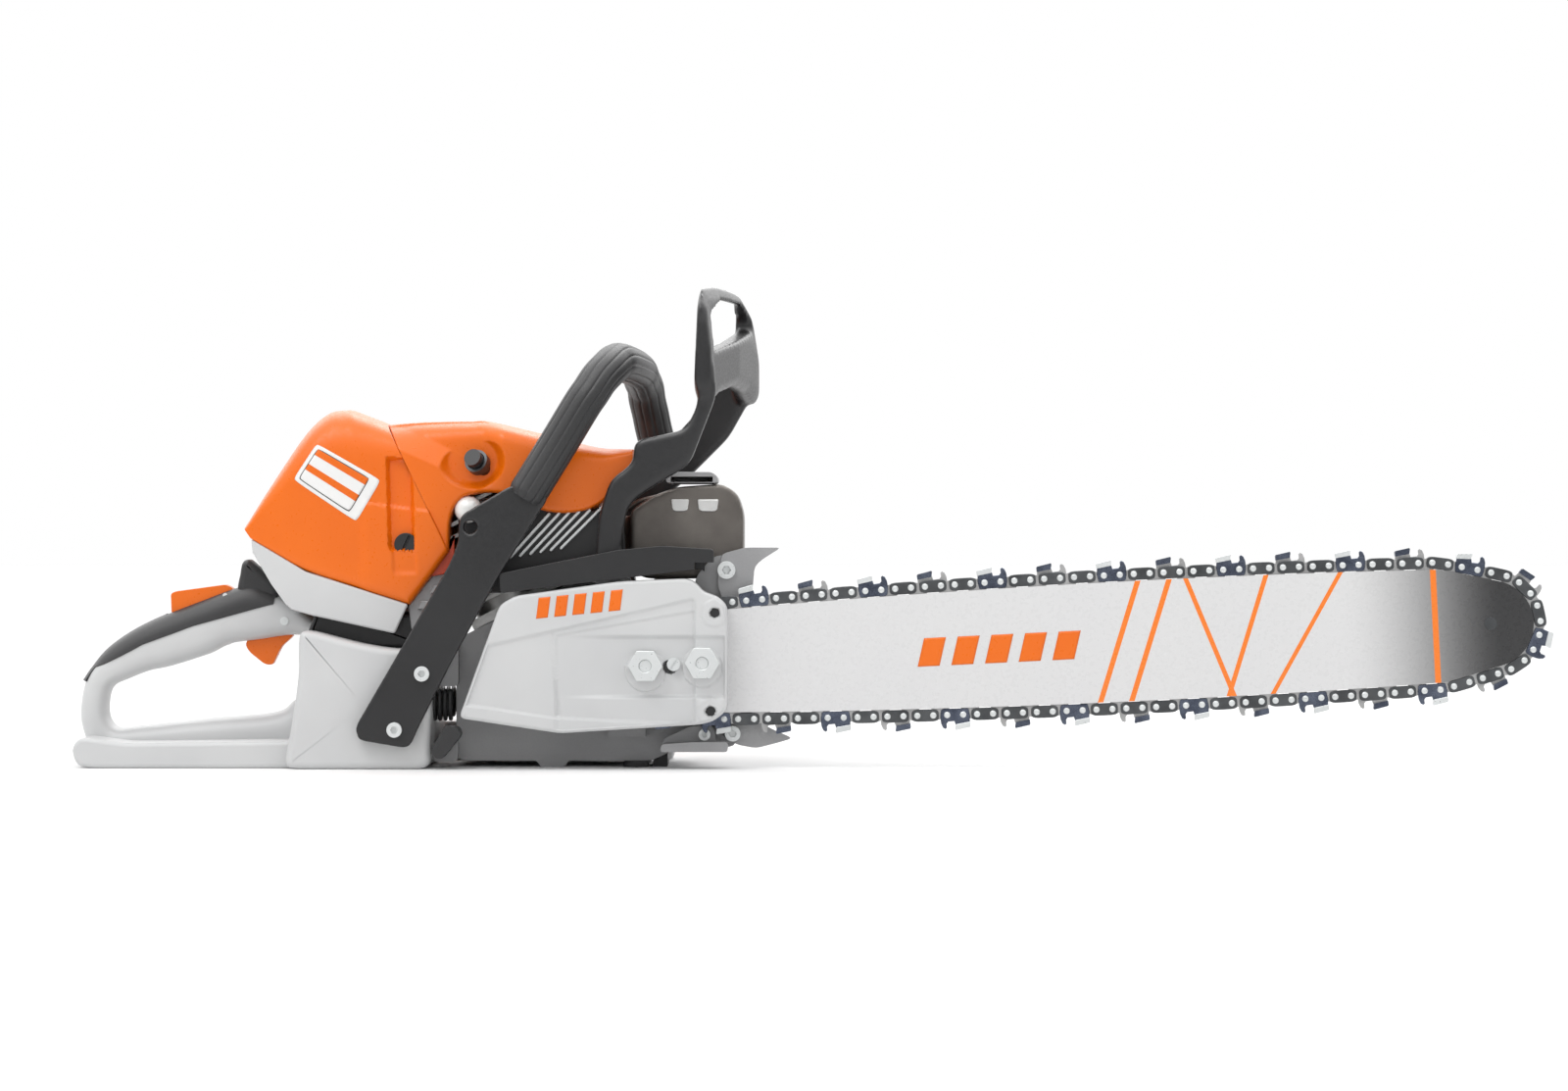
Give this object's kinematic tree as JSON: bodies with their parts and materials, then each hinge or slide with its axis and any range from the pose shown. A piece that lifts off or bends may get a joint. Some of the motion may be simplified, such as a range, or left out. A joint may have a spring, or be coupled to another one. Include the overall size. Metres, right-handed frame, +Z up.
{
  "type": "chainsaw",
  "caption": "Petrol chainsaw with guide bar, cutting chain, hand guard, rear handle and wrap-around front handle, with working controls and engine internals.",
  "frame": {"origin": "underside of the crankcase boss, on the ground plane straight below the crankshaft", "axes": "+X forward along the guide bar, +Y to the starter side, +Z up; the sprocket cover is on the -Y side"},
  "size_m": [0.9475, 0.215, 0.31],
  "materials": {
    "white_plastic": "warm white moulded nylon",
    "orange_plastic": "orange moulded nylon",
    "black_plastic": "black moulded nylon",
    "soft_grip": "soft black over-moulded rubber",
    "cast_alloy": "grey painted die casting",
    "bright_alloy": "bare cast alloy",
    "muffler_paint": "heat-proof bronze-grey paint",
    "zinc_steel": "zinc-plated steel",
    "bar_paint": "white lacquered steel",
    "chain_steel": "oiled blued steel",
    "drive_steel": "ground steel",
    "cutter_chrome": "dark chromed steel",
    "paper": "pleated filter felt",
    "brass_part": "turned brass",
    "ceramic_white": "glazed insulator"
  },
  "bodies": {
    "saw": {"tank_housing": "white_plastic", "rear_grip": "soft_grip", "handle_frame": "black_plastic", "handle_sleeve": "soft_grip", "lever_pins": "zinc_steel", "brake_cover": "black_plastic", "brake_band": "zinc_steel", "crankcase_right": "cast_alloy", "crankcase_left": "cast_alloy", "rubber_pads": "soft_grip", "main_bearings": "drive_steel", "cylinder_block": "bright_alloy", "spark_plug": "ceramic_white", "plug_boot": "soft_grip", "decompression_valve": "zinc_steel", "ignition_module": "black_plastic", "clutch_drum": "drive_steel", "rim_sprocket": "drive_steel", "oil_pump": "cast_alloy", "top_shroud": "orange_plastic", "filter_base": "black_plastic", "air_filter": "paper", "carburettor": "bright_alloy", "intake_boot": "soft_grip", "muffler": "muffler_paint", "muffler_deflector": "cast_alloy", "sprocket_cover": "white_plastic", "bar_fasteners": "zinc_steel", "starter_housing": "orange_plastic", "recoil_spring": "drive_steel", "guide_bar": "bar_paint", "nose_sprocket": "drive_steel", "chain_drive_links": "drive_steel", "chain_tie_straps": "chain_steel", "chain_cutters": "cutter_chrome", "chain_rivets": "zinc_steel", "bumper_spike": "cast_alloy", "chain_catcher": "cast_alloy", "av_mounts": "soft_grip", "case_screws": "zinc_steel"},
    "guard": {"hand_guard": "black_plastic"},
    "trigger": {"throttle_trigger": "orange_plastic"},
    "lockout": {"throttle_lockout": "orange_plastic"},
    "butterfly": {"throttle_butterfly": "brass_part"},
    "stop": {"stop_lever": "orange_plastic"},
    "fuel_cap": {"fuel_cap": "black_plastic"},
    "fuel_bail": {"fuel_cap_bail": "black_plastic"},
    "oil_cap": {"oil_cap": "black_plastic"},
    "decomp": {"decompression_button": "black_plastic"},
    "air_cover": {"filter_cover": "orange_plastic", "filter_cover_skirt": "white_plastic"},
    "lock_screw": {"cover_lock_screw": "black_plastic"},
    "crank": {"crankshaft": "drive_steel", "flywheel": "cast_alloy", "clutch_hub": "drive_steel"},
    "piston": {"piston": "bright_alloy", "connecting_rod": "drive_steel"},
    "starter_pull": {"starter_grip": "black_plastic"},
    "starter_reel": {"starter_pulley": "black_plastic"},
    "adjuster": {"adjuster_screw": "zinc_steel"}
  },
  "joints": [
    {"name": "guard_tilt", "type": "hinge", "parent": "saw", "child": "guard", "pos_m": [0.038, 0, 0.128], "axis": [0, 1, 0], "range_deg": [0, 20]},
    {"name": "trigger_pull", "type": "hinge", "parent": "saw", "child": "trigger", "pos_m": [-0.175, 0, 0.0934], "axis": [0, 1, 0], "range_deg": [0, 18], "stiffness_Nm_per_rad": 0.4},
    {"name": "lockout_press", "type": "hinge", "parent": "saw", "child": "lockout", "pos_m": [-0.214, 0, 0.11], "axis": [0, -1, 0], "range_deg": [0, 8], "stiffness_Nm_per_rad": 0.6},
    {"name": "butterfly_turn", "type": "hinge", "parent": "saw", "child": "butterfly", "pos_m": [-0.11305, 0, 0.10885], "axis": [0, 1, 0], "range_deg": [0, 74]},
    {"name": "stop_turn", "type": "hinge", "parent": "saw", "child": "stop", "pos_m": [-0.146, 0.06, 0.058], "axis": [0, 1, 0], "range_deg": [0, 45]},
    {"name": "fuel_cap_turn", "type": "hinge", "parent": "saw", "child": "fuel_cap", "pos_m": [-0.112, 0.06, 0.04], "axis": [0, 1, 0], "range_deg": [0, 90]},
    {"name": "fuel_bail_flip", "type": "hinge", "parent": "fuel_cap", "child": "fuel_bail", "pos_m": [-0.1292, 0.0683, 0.04], "axis": [0, 0, 1], "range_deg": [0, 90]},
    {"name": "oil_cap_turn", "type": "hinge", "parent": "saw", "child": "oil_cap", "pos_m": [0.08, 0.046, 0.042], "axis": [0, 1, 0], "range_deg": [0, 90]},
    {"name": "decomp_press", "type": "slide", "parent": "saw", "child": "decomp", "axis": [0.3323, 0.8656, -0.3746], "range_m": [0, 0.004], "stiffness_N_per_m": 2000},
    {"name": "air_cover_lift", "type": "slide", "parent": "saw", "child": "air_cover", "axis": [-0.4403, 0, 0.8978], "range_m": [0, 0.06]},
    {"name": "lock_screw_turn", "type": "hinge", "parent": "air_cover", "child": "lock_screw", "pos_m": [-0.093, -0.058, 0.143], "axis": [0, 1, 0], "range_deg": [0, 90]},
    {"name": "crank_spin", "type": "hinge", "parent": "saw", "child": "crank", "pos_m": [0, 0, 0.0632], "axis": [0, 1, 0], "continuous": true},
    {"name": "piston_stroke", "type": "slide", "parent": "saw", "child": "piston", "axis": [0.454, 0, -0.891], "range_m": [0, 0.035]},
    {"name": "starter_pull_out", "type": "slide", "parent": "saw", "child": "starter_pull", "axis": [1, 0, 0], "range_m": [0, 0.095], "stiffness_N_per_m": 60},
    {"name": "starter_reel_turn", "type": "hinge", "parent": "saw", "child": "starter_reel", "pos_m": [0, 0.074, 0.0632], "axis": [0, 1, 0], "range_deg": [0, 190]},
    {"name": "adjuster_turn", "type": "hinge", "parent": "saw", "child": "adjuster", "pos_m": [0.07891, -0.075, 0.06706], "axis": [0, 1, 0], "range_deg": [0, 350]}
  ],
  "couplings": [
    {"joint": "butterfly_turn", "follows": "trigger_pull", "ratio": 4.1},
    {"joint": "starter_reel_turn", "follows": "starter_pull_out", "rad_per_m": 34.48}
  ]
}
